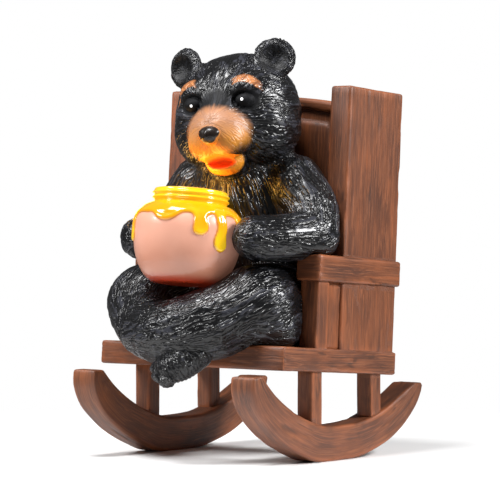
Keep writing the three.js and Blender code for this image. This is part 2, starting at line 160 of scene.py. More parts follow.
def block(name, low, high, ease):
    """A block with eased edges, left in edit mode."""
    low, high = np.array(low, float), np.array(high, float)
    bpy.ops.object.select_all(action="DESELECT")
    bpy.ops.mesh.primitive_cube_add(size=1, location=(low + high) / 2 * MM, scale=(high - low) * MM)
    piece = bpy.context.object
    piece.name = piece.data.name = name
    bpy.ops.object.transform_apply(location=True, rotation=True, scale=True)
    bpy.ops.object.mode_set(mode="EDIT")
    bpy.ops.mesh.select_all(action="SELECT")
    bpy.ops.mesh.bevel(offset=ease * MM, segments=3, affect="EDGES")
    return piece


def raw_board(name, low, high, ease, steps):
    """A block with eased edges, its faces ruled into a grid with the given step along each axis."""
    piece = block(name, low, high, ease)
    bpy.ops.mesh.select_mode(type="EDGE")
    for axis in range(3):
        span = high[axis] - low[axis] - 2 * ease
        cuts = round(span / (steps[axis] * coarse)) - 1
        if cuts < 1:
            continue
        bpy.ops.mesh.select_all(action="DESELECT")
        bpy.ops.object.mode_set(mode="OBJECT")
        points = read_points(piece)
        for edge in piece.data.edges:
            a, b = (points[i] for i in edge.vertices)
            edge.select = abs(a[axis] - b[axis]) > span * 0.9
        bpy.ops.object.mode_set(mode="EDIT")
        bpy.ops.mesh.subdivide(number_cuts=cuts)
    bpy.ops.object.mode_set(mode="OBJECT")
    return piece


def scrape(piece, low, high, axis, seed, rough=1.0):
    """Scrapes a board along its grain and notes its grain, its worn edges and the painted shade of its cracks
    for the paint.
    """
    low, high = np.array(low, float), np.array(high, float)
    points, normals = read_points(piece), read_normals(piece)
    size = high - low
    second = sorted((d for d in range(3) if d != axis), key=lambda d: -size[d])[0]
    third = 3 - axis - second
    # a runs along the grain, but across on a board's ends, and b and c run across it
    end = np.abs(normals[:, axis]) > 0.75
    a = np.where(end, points[:, second], points[:, axis])
    b = np.where(end, points[:, axis], points[:, second])
    c = points[:, third]
    board = np.stack([a, b, c], 1) + 37.7 * seed
    bend = 2.2 * grain(board * [1 / 26, 1 / 9, 1 / 9], seed)
    bend = bend + 0.8 * grain(board * [1 / 9, 1 / 4, 1 / 4], seed + 1)
    lie = np.stack([board[:, 0] / 30, (board[:, 1] + bend) / 2.1, (board[:, 2] + bend) / 2.1], 1)
    streak = grain(lie, seed + 2)
    split = smooth(0.5, 0.8, grain(board * [1 / 22, 1 / 7, 1 / 7], seed + 3))
    crack = np.exp(-((streak - 0.5) / 0.08) ** 2) * split
    ripple = grain(lie * [1.5, 2.1, 2.1], seed + 4)
    to_face = np.sort(np.minimum(np.abs(points - low), np.abs(high - points)), axis=1)
    edge = 1 - smooth(0.3, 3.6, to_face[:, 1])
    chip = smooth(0.66, 0.9, grain(board / [7, 3.2, 3.2], seed + 5)) * edge
    sway = grain(board * [1 / 24, 1 / 20, 1 / 20], seed + 6) - 0.5
    relief = -rough * (0.34 * crack + 0.14 * ripple + 0.5 * chip + 0.3 * (0.5 - sway))
    write_points(piece, points + normals * relief[:, None])
    note(piece, "board", board + np.stack([0 * bend, bend, bend], 1))
    note(piece, "worn", np.clip(edge * (0.55 + 0.9 * sway + 0.5 * chip), 0, 1))
    # The cracks and the low places of the ripple are noted to be darkened as painted shade
    note(piece, "painted_crack_shade", np.clip(crack + 0.35 * (1 - ripple), 0, 1))


def place_board(piece, upright):
    points = read_points(piece)
    if not upright:
        points = leaned(points)
    write_points(piece, points + AHEAD)


def curve_through(places, count):
    """Evenly spaced points on a smooth curve through the places."""
    s = np.array(places, float)
    s = np.vstack([2 * s[0] - s[1], s, 2 * s[-1] - s[-2]])
    fine = []
    for a, b, c, d in zip(s[:-3], s[1:-2], s[2:-1], s[3:]):
        t = np.linspace(0, 1, 12, endpoint=False)[:, None]
        fine.append(0.5 * (2 * b + (c - a) * t + (2 * a - 5 * b + 4 * c - d) * t ** 2
                           + (3 * b - a - 3 * c + d) * t ** 3))
    fine = np.vstack(fine + [s[-2:-1]])
    run = np.concatenate([[0], np.cumsum(length(np.diff(fine, axis=0)))])
    even = np.linspace(0, run[-1], count)
    return np.stack([np.interp(even, run, fine[:, k]) for k in range(fine.shape[1])], 1)


boards = []


def add_board(name, low, high, axis, seed, ease=1.6, steps=None, upright=False, shape=None, rough=1.0):
    steps = steps or [3.2 if d == axis else 1.05 for d in range(3)]
    piece = raw_board(name, low, high, ease, steps)
    scrape(piece, low, high, axis, seed, rough)
    if shape:
        write_points(piece, shape(read_points(piece)))
    place_board(piece, upright)
    boards.append(piece)


def arched(points):
    """The back's rounded top: its upper half rises towards the middle."""
    rise = BACK_ARCH * np.cos(points[:, 0] / BACK_HALF * math.pi / 2)
    lifted = smooth(120, BACK_TOP - 10, points[:, 2]) * rise
    return points + np.stack([0 * rise, 0 * rise, lifted], 1)


def crowned(points):
    """The back's raised middle swells towards the bear like a cushion."""
    swell = 1.6 * np.cos(np.clip(points[:, 0] / 46, -1, 1) * math.pi / 2)
    front = smooth(BACK_REAR, BACK_FRONT, points[:, 1])
    return arched(points - np.stack([0 * swell, swell * front - front * 1.6, 0 * swell], 1))


def chamfered(points):
    """The armrest's inner upper edge is planed off."""
    over = (ARM_LOW[0] + ARM_CHAMFER - np.abs(points[:, 0])) + (points[:, 2] - ARM_HIGH[2])
    cut = np.maximum(over, 0) / 2
    inward = np.sign(points[:, 0]) * cut
    return points + np.stack([inward, 0 * cut, -cut], 1)


ROCKER_LENGTH, ROCKER_THICK = 190, 20
LINE_POINTS = 400
under_line = curve_through(ROCKER_UNDER, LINE_POINTS)
upper_line = curve_through(ROCKER_UPPER, LINE_POINTS)


def rocked(points):
    """A straight bar bent to the rocker's outline."""
    share = np.clip(points[:, 1] / ROCKER_LENGTH, 0, 1) * (LINE_POINTS - 1)
    lift = (points[:, 2] / ROCKER_THICK)[:, None]
    row = np.arange(LINE_POINTS)
    under, upper = (np.stack([np.interp(share, row, line[:, k]) for k in (0, 1)], 1)
                    for line in (under_line, upper_line))
    place = under * (1 - lift) + upper * lift
    return np.stack([points[:, 0], place[:, 0], np.maximum(place[:, 1], 0)], 1)


def on_side(side, low, high):
    """A board's two corners on the bear's left (1) or, mirrored, on its right (-1)."""
    if side > 0:
        return low, high
    return (-high[0], *low[1:]), (-low[0], *high[1:])


add_board("seat", SEAT_LOW, SEAT_HIGH, 0, 1)
add_board("back", (-BACK_HALF, BACK_FRONT, IN_SEAT), (BACK_HALF, BACK_REAR, BACK_TOP), 2, 2, shape=arched)
add_board("crest", (-BACK_HALF, BACK_FRONT - CREST_PROUD, BACK_TOP - CREST_HEIGHT),
          (BACK_HALF, BACK_REAR + 1, BACK_TOP + 0.8), 0, 3, ease=2.6, shape=arched)
add_board("back_panel", (-42, BACK_FRONT - 2, 64), (42, BACK_REAR - 4, BACK_TOP - CREST_HEIGHT - 4), 2, 4,
          ease=5, shape=crowned, rough=0.7)
for side, seed in ((-1, 30), (1, 10)):
    add_board("wing", *on_side(side, WING_LOW, WING_HIGH), 2, seed, ease=1.8)
    add_board("arm", *on_side(side, ARM_LOW, ARM_HIGH), 1, seed + 1, ease=1.9, shape=chamfered)
    add_board("arm_panel", *on_side(side, POST_BOARD_LOW, POST_BOARD_HIGH), 2, seed + 2)
    for i, (front, rear) in enumerate(POST_SPANS):
        post = on_side(side, (POST_INNER, front, POST_FOOT), (POST_OUTER, rear, POST_TOP))
        add_board("post", *post, 2, seed + 3 + i, ease=1.2)
    # The legs are sunk into the rocker, which curves up from its middle
    for i, front in enumerate(LEG_FRONTS):
        foot = 16 + 0.0045 * (front + LEG_DEPTH / 2) ** 2
        leg = on_side(side, (LEG_INNER, front, foot), (LEG_OUTER, front + LEG_DEPTH, LEG_TOP))
        add_board("leg", *leg, 2, seed + 7 + i, ease=1.3, upright=True)
    bar = on_side(side, (ROCKER_INNER, 0, 0), (ROCKER_OUTER, ROCKER_LENGTH, ROCKER_THICK))
    add_board("rocker", *bar, 1, seed + 10, ease=1.8, shape=rocked, upright=True)

chair = boards[0]
chair.name = chair.data.name = "carved_chair"
for board in boards[1:]:
    apply_modifier(chair, "BOOLEAN", object=board, operation="UNION", solver="MANIFOLD")
    bpy.data.objects.remove(board)
PANEL_THICK = 4
panel_low = np.array([-PANEL_HALF_WIDTH, BACK_REAR - PANEL_SUNK, PANEL_MIDDLE - PANEL_HALF_HEIGHT])
panel_high = panel_low + [2 * PANEL_HALF_WIDTH, PANEL_THICK, 2 * PANEL_HALF_HEIGHT]
past_back = [panel_high[0] + GAP, BACK_REAR + 10, panel_high[2] + GAP]
recess = block("recess", panel_low - GAP, past_back, 0.3)
bpy.ops.object.mode_set(mode="OBJECT")
place_board(recess, False)
apply_modifier(chair, "BOOLEAN", object=recess, operation="DIFFERENCE", solver="MANIFOLD")
bpy.data.objects.remove(recess)
only(chair)
bpy.ops.object.shade_smooth_by_angle(angle=math.radians(50))


class Wire:
    """A socket in a material, which sums are written with as if it were a number."""

    def __init__(self, tree, socket):
        self.tree = tree
        self.socket = socket

    def make(self, kind, settings=None, sockets=None, out=0):
        node = self.tree.nodes.new("ShaderNode" + kind)
        for name, value in (settings or {}).items():
            setattr(node, name, value)
        for name, value in (sockets or {}).items():
            if isinstance(value, Wire):
                self.tree.links.new(value.socket, node.inputs[name])
            else:
                node.inputs[name].default_value = value
        return Wire(self.tree, node.outputs[out])

    def math(self, operation, *values):
        """Maths on the given numbers and sockets, in their order."""
        return self.make("Math", {"operation": operation}, dict(enumerate(values)))

    def __add__(self, other):
        return self.math("ADD", self, other)

    def __radd__(self, other):
        return self.math("ADD", other, self)

    def __sub__(self, other):
        return self.math("SUBTRACT", self, other)

    def __rsub__(self, other):
        return self.math("SUBTRACT", other, self)

    def __mul__(self, other):
        return self.math("MULTIPLY", self, other)

    def __rmul__(self, other):
        return self.math("MULTIPLY", other, self)

    def __truediv__(self, other):
        return self.math("DIVIDE", self, other)

    def __abs__(self):
        return self.math("ABSOLUTE", self)

    def most(self, other):
        return self.math("MAXIMUM", self, other)

    def ramp(self, low, high):
        """0 at low, 1 at high and smooth between."""
        return self.make("MapRange", {"interpolation_type": "SMOOTHSTEP"},
                         {"Value": self, "From Min": low, "From Max": high})

    def vector(self, operation, *values):
        """Maths on this vector and then the given ones."""
        return self.make("VectorMath", {"operation": operation}, dict(enumerate((self, *values))))

    def size(self):
        return self.make("VectorMath", {"operation": "LENGTH"}, {0: self}, out="Value")

    def axis(self, letter):
        return self.make("SeparateXYZ", None, {0: self}, out=letter)

    def noise(self, scale, detail=2.0, roughness=0.5):
        return self.make("TexNoise", None,
                         {"Vector": self, "Scale": scale, "Detail": detail, "Roughness": roughness})

    def blend(self, low, high):
        """From the colour low where this is 0 to the colour high where it is 1."""
        return self.make("Mix", {"data_type": "RGBA"}, {0: self, 6: opaque(low), 7: opaque(high)}, out=2)


def opaque(colour):
    return colour if isinstance(colour, Wire) else (*colour, 1)


def paint(name):
    """A new material: itself, its shader's inputs, and the place on the piece in metres."""
    made = bpy.data.materials.new(name)
    made.use_nodes = True
    tree = made.node_tree
    shader = tree.nodes["Principled BSDF"]
    place = Wire(tree, tree.nodes.new("ShaderNodeTexCoord").outputs["Object"])
    return made, shader.inputs, place


def feed(socket, wire):
    wire.tree.links.new(wire.socket, socket)


def kept(place, name, out):
    """What note() kept at each point."""
    return place.make("Attribute", {"attribute_name": name}, None, out)


WOOD_DARK = (0.080, 0.027, 0.013)
WOOD_BROWN = (0.17, 0.052, 0.019)
WOOD_LIGHT = (0.26, 0.092, 0.038)
WOOD_ORANGE = (0.34, 0.098, 0.030)
WOOD_STAIN_AND_SHADE = (0.022, 0.009, 0.005)

# The grain is noise drawn out along each board, from broad blots to fine lines. Worn edges are orange.
wood_paint, socket, place = paint("wood_paint")
board = kept(place, "board", "Vector")
streaks = board.vector("MULTIPLY", (0.016, 0.34, 0.34)).noise(1.0, 3.0, 0.6)
lines = board.vector("MULTIPLY", (0.035, 1.5, 1.5)).noise(1.0, 2.0, 0.65)
blots = board.vector("MULTIPLY", (0.035, 0.07, 0.07)).noise(1.0, 3.0, 0.5)
worn = kept(place, "worn", "Fac")
painted_crack_shade = kept(place, "painted_crack_shade", "Fac")
stains = board.vector("MULTIPLY", (0.05, 0.1, 0.1)).noise(1.0, 4.0, 0.6)
tone = streaks * 0.3 + lines * 0.3 + blots * 0.4
skin = tone.ramp(0.38, 0.6).blend(WOOD_DARK, WOOD_BROWN)
skin = (lines.ramp(0.5, 0.66) * 0.5).blend(skin, WOOD_LIGHT)
skin = (streaks.ramp(0.52, 0.66) * blots.ramp(0.5, 0.62) * 0.3).blend(skin, WOOD_ORANGE)
skin = (stains.ramp(0.58, 0.74) * 0.35).blend(skin, WOOD_STAIN_AND_SHADE)
skin = (worn * (0.25 + blots.ramp(0.4, 0.6)) * 0.7).blend(skin, WOOD_ORANGE)
# Cracks and hollows of the grain are darkened: painted shade, the same dark colour as the stains
skin = (painted_crack_shade.ramp(0.55, 1.1) * 0.6).blend(skin, WOOD_STAIN_AND_SHADE)
feed(socket["Base Color"], skin)
feed(socket["Roughness"], 0.4 + 0.14 * lines)
bump = place.make("Bump", None, {"Strength": 0.5, "Distance": 0.0003, "Height": lines + 0.6 * streaks})
feed(socket["Normal"], bump)
chair.data.materials.clear()
chair.data.materials.append(wood_paint)
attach(chair, "root")
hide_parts("rocking_chair")

# The solar panel
# A small plate of dark cells under a clear cover, in a moulded rim, glued into a recess in the chair's back.
PANEL_RIM, PANEL_EASE, CELL_COLUMNS, CELL_ROWS = 3, 0.7, 4, 3
panel = block("solar_plate", panel_low, panel_high, PANEL_EASE)
bpy.ops.mesh.select_mode(type="FACE")
bpy.ops.mesh.select_all(action="DESELECT")
bpy.ops.object.mode_set(mode="OBJECT")
for face in panel.data.polygons:
    face.select = face.normal.y > 0.99
bpy.ops.object.mode_set(mode="EDIT")
bpy.ops.mesh.inset(thickness=(PANEL_RIM - PANEL_EASE) * MM)
bpy.ops.mesh.inset(thickness=0.5 * MM, depth=-0.6 * MM)
bpy.ops.mesh.inset(thickness=0.6 * MM)
bpy.ops.mesh.subdivide(number_cuts=1)
bpy.ops.object.mode_set(mode="OBJECT")
place_board(panel, False)
only(panel)
bpy.ops.object.shade_smooth_by_angle(angle=math.radians(30))

CELL_BLUE = (0.006, 0.011, 0.035)
CELL_VIOLET = (0.012, 0.012, 0.05)
RIM_BLACK = (0.012, 0.012, 0.012)
GAP_BLACK = (0.02, 0.02, 0.022)
SILVER = (0.45, 0.46, 0.47)
FINGER_STEP = 1.6
panel_paint, socket, place = paint("solar_paint")
upright = place.make("VectorRotate", {"rotation_type": "X_AXIS"}, {"Vector": place, "Angle": RECLINE})
across = upright.axis("X") * 1000
rise = upright.axis("Z") * 1000 - (PANEL_MIDDLE + AHEAD[1] * math.sin(RECLINE))
cell_wide = 2 * (PANEL_HALF_WIDTH - PANEL_RIM) / CELL_COLUMNS
cell_high = 2 * (PANEL_HALF_HEIGHT - PANEL_RIM) / CELL_ROWS
column = abs(across.math("FRACT", across / cell_wide + 0.5 * (CELL_COLUMNS % 2)) - 0.5) * cell_wide
row = abs(rise.math("FRACT", rise / cell_high + 0.5 * (CELL_ROWS % 2)) - 0.5) * cell_high
gap_line = (cell_wide / 2 - column).ramp(0.5, 0.25).most((cell_high / 2 - row).ramp(0.5, 0.25))
finger = abs(rise.math("FRACT", rise / FINGER_STEP) - 0.5).ramp(0.42, 0.47)
bus_bar = 1 - abs(column - cell_wide / 4).ramp(0.35, 0.5)
in_rim = abs(across).ramp(PANEL_HALF_WIDTH - PANEL_RIM, PANEL_HALF_WIDTH - PANEL_RIM + 0.2).most(
    abs(rise).ramp(PANEL_HALF_HEIGHT - PANEL_RIM, PANEL_HALF_HEIGHT - PANEL_RIM + 0.2))
flake = place.noise(160, 2.0)
skin = flake.ramp(0.4, 0.6).blend(CELL_BLUE, CELL_VIOLET)
skin = (finger * 0.5).most(bus_bar * 0.8).blend(skin, SILVER)
skin = gap_line.blend(skin, GAP_BLACK)
skin = in_rim.blend(skin, RIM_BLACK)
feed(socket["Base Color"], skin)
feed(socket["Roughness"], 0.12 + 0.3 * in_rim)
socket["Coat Weight"].default_value = 0.6
panel.data.materials.clear()
panel.data.materials.append(panel_paint)
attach(panel, "root")
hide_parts("solar_panel")

# The honey jar
# A hollow jar moulded in milky pink resin. A coat of golden honey covers its shoulder and runs down in drips.
# It is lit from inside and glows most at the honey. It is turned here from its outline.
JAR_CENTRE = np.array([0, -59.5, 101.5])
JAR_LEAN = math.radians(7.5)
JAR_HEIGHT, JAR_WALL = 54, 2.2
FOOT_RADIUS, BELLY_RADIUS, BELLY_HEIGHT = 17, 31, 30
NECK_RADIUS, NECK_HEIGHT, NECK_RING = 21, 45, 1.4
HONEY_COAT, HONEY_LIP = 0.9, 1.3
HONEY_EDGE = 38.5
# Each run of honey: angle round the jar from its front in degrees, width, and the height it reaches down to
HONEY_RUNS = [(-44, 9, 22), (12.5, 20, 33.5), (52, 9, 26), (77, 9, 18), (112, 14, 31), (148, 9, 24),
              (190, 16, 32), (228, 9, 21), (262, 12, 29), (292, 9, 25)]


def jar_radius(z):
    below = z < BELLY_HEIGHT
    reach = np.where(below, BELLY_HEIGHT, NECK_HEIGHT - BELLY_HEIGHT)
    end = np.where(below, FOOT_RADIUS, NECK_RADIUS)
    t = np.clip(np.abs(z - BELLY_HEIGHT) / reach, 0, 1)
    belly = end + (BELLY_RADIUS - end) * np.maximum(1 - t ** 2.3, 0) ** 0.62
    ring = sum(NECK_RING * np.exp(-((z - NECK_HEIGHT - at) / 0.95) ** 2) for at in (3.4, 6.2))
    return np.where(z >= NECK_HEIGHT, NECK_RADIUS + ring, belly)


def jar_outline():
    """The jar's cut outline (r, z), from the middle of its foot, up its outside and down its inside."""
    heights = BELLY_HEIGHT + np.concatenate([
        -BELLY_HEIGHT * np.cos(np.linspace(0, math.pi / 2, 70)),
        (NECK_HEIGHT - BELLY_HEIGHT) * np.sin(np.linspace(0, math.pi / 2, 60))[1:]])
    outside = [(r, 0) for r in np.linspace(0, FOOT_RADIUS, 10)[:-1]]
    outside += list(zip(jar_radius(heights), heights))
    neck = np.linspace(NECK_HEIGHT + 0.4, JAR_HEIGHT - 0.8, 24)
    outside += list(zip(jar_radius(neck), neck))
    lip = NECK_RADIUS - JAR_WALL / 2
    outside += [(lip + 1.1 * math.cos(a), JAR_HEIGHT - 0.8 + 0.8 * math.sin(a))
                for a in np.linspace(0.3, math.pi - 0.3, 7)]
    down = np.linspace(JAR_HEIGHT - 2, 1.5 * JAR_WALL, 40)
    inside = [(min(r, NECK_RADIUS if z > NECK_HEIGHT else 99) - JAR_WALL, z)
              for r, z in zip(np.where(down > NECK_HEIGHT, NECK_RADIUS, jar_radius(down)), down)]
    floor_line = [(r, 1.5 * JAR_WALL) for r in np.linspace(inside[-1][0], 0, 8)[1:]]
    return outside + inside + floor_line


def honey_reach(points):
    """How far each place on the jar is outside the honey's edge, in millimetres; negative under honey."""
    turn = np.degrees(np.arctan2(points[:, 0], -points[:, 1]))
    z = points[:, 2]
    edge = HONEY_EDGE - z + 0.9 * np.sin(np.radians(turn * 5 + 40)) + 0.5 * np.sin(np.radians(turn * 11))
    for angle, width, low in HONEY_RUNS:
        across = np.radians((turn - angle + 180) % 360 - 180) * BELLY_RADIUS
        half = width / 2
        swing = 0.35 * np.sin(z * 0.5 + angle)
        bulb = half * (0.82 + 0.22 * smooth(low + 2.6 * half, low + half, z))
        down = np.maximum(low + half - z, 0)
        run = np.hypot(across + swing, down) - bulb
        run = np.maximum(run, z - HONEY_EDGE - 2)
        h = np.maximum(3.4 - np.abs(edge - run), 0) / 3.4
        edge = np.minimum(edge, run) - h * h * 3.4 / 4
    return edge


profile = jar_outline()
mesh = bpy.data.meshes.new("glowing_jar")
mesh.from_pydata([(r * MM, 0, z * MM) for r, z in profile],
                 [(i, i + 1) for i in range(len(profile) - 1)], [])
jar = bpy.data.objects.new("glowing_jar", mesh)
scene.collection.objects.link(jar)
only(jar)
bpy.ops.object.mode_set(mode="EDIT")
bpy.ops.mesh.select_all(action="SELECT")
bpy.ops.mesh.spin(steps=300 // coarse, angle=2 * math.pi, center=(0, 0, 0), axis=(0, 0, 1))
bpy.ops.mesh.select_all(action="SELECT")
bpy.ops.mesh.remove_doubles(threshold=0.01 * MM)
bpy.ops.mesh.normals_make_consistent(inside=False)
bpy.ops.object.mode_set(mode="OBJECT")
points = read_points(jar)
round_way = np.hypot(points[:, 0], points[:, 1])
outer = (round_way > jar_radius(points[:, 2]) - 0.3) & (points[:, 2] > 10)
reach = honey_reach(points)
lip = (HONEY_LIP - HONEY_COAT) * np.exp(-((reach + 1.7) / 1.3) ** 2)
depth = smooth(0.25, -1.1, reach) * (HONEY_COAT + lip)
depth = depth * (1 + 0.25 * (grain(points / 6, 21) - 0.5))
depth = depth * smooth(NECK_HEIGHT + 1.6, NECK_HEIGHT + 0.2, points[:, 2])
normals = read_normals(jar)
dent = 0.22 * (grain(points / 9, 4) - 0.5)
inner = round_way < jar_radius(points[:, 2]) - 1.5
points = points + normals * np.where(outer, depth + dent * (depth < 0.1), 0)[:, None]
note(jar, "honey", np.where(outer, smooth(0.1, -0.5, reach), inner & (points[:, 2] > 3)))
note(jar, "rise", points[:, 2] / JAR_HEIGHT)
write_points(jar, leaned(points, JAR_LEAN) + JAR_CENTRE + AHEAD)
only(jar)
bpy.ops.object.shade_smooth()

JAR_PINK = (0.68, 0.345, 0.25)
JAR_ROSE = (0.52, 0.21, 0.13)
JAR_RED = (0.45, 0.04, 0.012)
HONEY_GOLD = (0.60, 0.25, 0.002)
HONEY_PALE = (0.66, 0.43, 0.010)
HONEY_RIM_SHADE = (0.42, 0.12, 0.006)
jar_paint, socket, place = paint("jar_paint")
honey = kept(place, "honey", "Fac")
rise = kept(place, "rise", "Fac")
clouds = place.noise(55, 3.0)
body = (rise.ramp(0.05, 0.5) * 0.8 + clouds.ramp(0.35, 0.7) * 0.2).blend(JAR_ROSE, JAR_PINK)
body = (1 - rise.ramp(0.0, 0.1)).blend(body, JAR_RED)
gold = (clouds.ramp(0.42, 0.62) * 0.25 + (1 - rise.ramp(0.4, 0.66)) * 0.8).blend(HONEY_GOLD, HONEY_PALE)
gold = (rise.ramp(0.8, 0.95) * 0.7).blend(gold, HONEY_PALE)
skin = honey.blend(body, gold)
# A darker line along the honey's edge: painted shade where the raised coat steps down to the jar
skin = (3.2 * honey * (1 - honey)).blend(skin, HONEY_RIM_SHADE)
feed(socket["Base Color"], skin)
feed(socket["Roughness"], 0.3 - 0.16 * honey)
feed(socket["Emission Color"], (honey * 0.8 + 0.3 * rise + 0.16).blend((0, 0, 0), skin))
socket["Emission Strength"].default_value = 0.62
socket["Coat Weight"].default_value = 0.4
socket["Coat Roughness"].default_value = 0.08
jar.data.materials.append(jar_paint)
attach(jar, "root")
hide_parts("honey_jar")

# The bear
# The bear is one hollow resin casting. It was modelled in clay with a wire tool that drew every lock of its
# fur, then painted black and glazed. It is built up here from lumps and bent rolls of clay, which are melted
# into one skin, pressed smooth against the chair and the jar, and combed.
HEAD_CENTRE = np.array([3, -12, 201.5])
HEAD_TURN = math.radians(15)
HEAD_TIP = math.radians(-4.2)
head_axes = np.array(Matrix.Rotation(HEAD_TURN, 3, "Z") @ Matrix.Rotation(HEAD_TIP, 3, "Y"))
FAR = 14  # millimetres past which a form no longer matters to the skin


def egg(points, centre, radii):
    """Distance to an egg's skin, negative inside."""
    q = (points - centre) / radii
    k0, k1 = length(q), length(q / radii)
    return k0 * (k0 - 1) / np.maximum(k1, 1e-9)


def bent(stations, steps=4):
    """A roll of clay's stations (x, y, z, radius), filled in along a smooth curve."""
    return curve_through(stations, steps * (len(stations) - 1) + 1)


def roll(points, stations):
    """Distance to a bent roll's skin, and the way along it at its nearest place."""
    best = np.full(len(points), float(FAR))
    way = np.zeros_like(points)
    way[:, 2] = -1
    reach = (stations[:, 3] + FAR)[:, None]
    low, high = (stations[:, :3] - reach).min(0), (stations[:, :3] + reach).max(0)
    close = ((points > low) & (points < high)).all(1)
    near_points = points[close]
    near_best = np.full(len(near_points), 1e9)
    near_way = np.zeros_like(near_points)
    for a, b in zip(stations[:-1], stations[1:]):
        along = b[:3] - a[:3]
        t = np.clip(((near_points - a[:3]) @ along) / (along @ along), 0, 1)
        d = length(near_points - a[:3] - t[:, None] * along) - (a[3] + t * (b[3] - a[3]))
        nearer = d < near_best
        near_best[nearer] = d[nearer]
        near_way[nearer] = along / np.linalg.norm(along)
    best[close] = near_best
    way[close] = near_way
    return best, way


def melt(a, b, width):
    """Two skins as one, with the crease between them filled over the given width."""
    h = np.maximum(width - np.abs(a - b), 0) / width
    return np.minimum(a, b) - h * h * width / 4


def press(a, b, width):
    """The first skin with the second pressed out of it."""
    return -melt(-a, b, width)


def both_sides(points):
    """The points with those of the right half mirrored to the left."""
    return np.stack([np.abs(points[:, 0]), points[:, 1], points[:, 2]], 1)


# The head's lumps, in its own axes from the middle of the skull: centre, radii and how widely each melts in.
# They are the skull, the cheeks, the brows, the bridge, the muzzle, the lips' two sides and the chin.
HEAD_LUMPS = [
    ((0, 0, 0), (36.5, 34, 34), 1),
    ((17, -5, -13), (19.5, 23, 19.5), 9),
    ((-17, -5, -13), (19.5, 23, 19.5), 9),
    ((14.5, -23, 12), (11, 7.5, 6.5), 6),
    ((-14.5, -23, 12), (11, 7.5, 6.5), 6),
    ((0, -25, -2), (9, 16, 9.5), 7),
    ((0, -27, -12.5), (18.3, 19.5, 15.5), 4),
    ((7.5, -33, -18.8), (10, 10.8, 9.2), 4),
    ((-7.8, -32.6, -19.6), (10.2, 10.8, 9.8), 4),
    ((0, -22, -29.8), (12.5, 14, 8.4), 2.5),
]
# The mouth is an egg cut out between lips and chin. The nose is two eggs, and the left eye is mirrored.
MOUTH = ((0.8, -36, -30.4), (8.8, 8, 3.4))
NOSE = [((0, -45.6, -13.7), (6.7, 4.4, 3.6)), ((0, -45.2, -16.2), (4.9, 4.0, 4.3))]
EYE = (15.8, -27.8, 4.4)
EYE_RADII = (6.0, 4.6, 4.3)
EARS = {-1: (-28.6, -7, 27.7), 1: (27.3, -7, 28.4)}
EAR_RADII = (12.1, 5.4, 12.0)
EAR_HOLLOW = ((0, -6.6, -0.8), (8.5, 6.4, 8.7))

# The body's lumps, and its rolls: stations of x, y, z and radius, from the trunk outwards. ELBOW and HAUNCH
# fill the corners that a bent roll leaves thin, at both elbows and at the left hip.
BELLY = ((0, -3, 98), (38.5, 30.5, 36))
CHEST = ((0, -2, 138), (38.5, 26.5, 32.5))
NECK = [(4, -6, 190, 26), (0, -1, 155, 31)]
ARM = [(35, 0, 159.5, 17), (49, -3, 143, 16), (54.6, -12, 131, 14.4), (50, -31, 128, 13.6),
       (41.5, -47, 128, 12.8)]
ELBOW = ((57, -8.5, 127.5), (11.5, 14, 11))
HAUNCH = ((44, -35, 76), (17, 17, 14))
LEFT_THIGH = [(22, 0, 88, 22.5), (32, -20, 90, 23.5), (36, -38, 89, 23)]
RIGHT_THIGH = [(-22, 0, 88, 22.5), (-35, -20, 90, 23.5), (-42.5, -40.5, 89, 23.5)]
LEFT_SHIN = [(36.5, -40, 88, 22), (20, -62, 79, 20.5), (-2, -70, 74, 18), (-20, -66, 76, 16.5)]
RIGHT_SHIN = [(-41.5, -40.5, 86, 21.5), (-24, -62, 76, 17.5), (2, -68, 66, 12.5)]
FOOT = [(20, -71, 62.5, 8.4), (13, -76, 57.5, 9.4), (6, -78.5, 54.5, 9.0)]
TOES = [((2, -82.5, 50.2), (5.2, 5.0, 4.6)), ((7.5, -83.6, 47.6), (4.6, 4.4, 4.0)),
        ((-2.5, -79.5, 54), (4.4, 4.6, 4.4))]


def in_head(points):
    return (points - HEAD_CENTRE) @ head_axes


def mirror(stations):
    return [(-x, *rest) for x, *rest in stations]


def ear_frame(side):
    turn = np.array(Matrix.Rotation(side * 0.36, 3, "Z") @ Matrix.Rotation(-0.12, 3, "X"))
    return np.array(EARS[side], float), turn


def head_skin(p):
    skin = None
    for centre, radii, width in HEAD_LUMPS:
        lump = egg(p, centre, radii)
        skin = lump if skin is None else melt(skin, lump, width)
    skin = press(skin, egg(p, *MOUTH), 1.2)
    tip, below = (egg(p, *part) for part in NOSE)
    skin = melt(skin, melt(tip, below, 3), 0.7)
    sides = both_sides(p)
    socket = egg(sides, np.add(EYE, [0.2, -3.2, 0]), np.multiply(EYE_RADII, [1.12, 0.65, 1.15]))
    skin = press(skin, socket, 2)
    return melt(skin, egg(sides, EYE, EYE_RADII), 0.5)


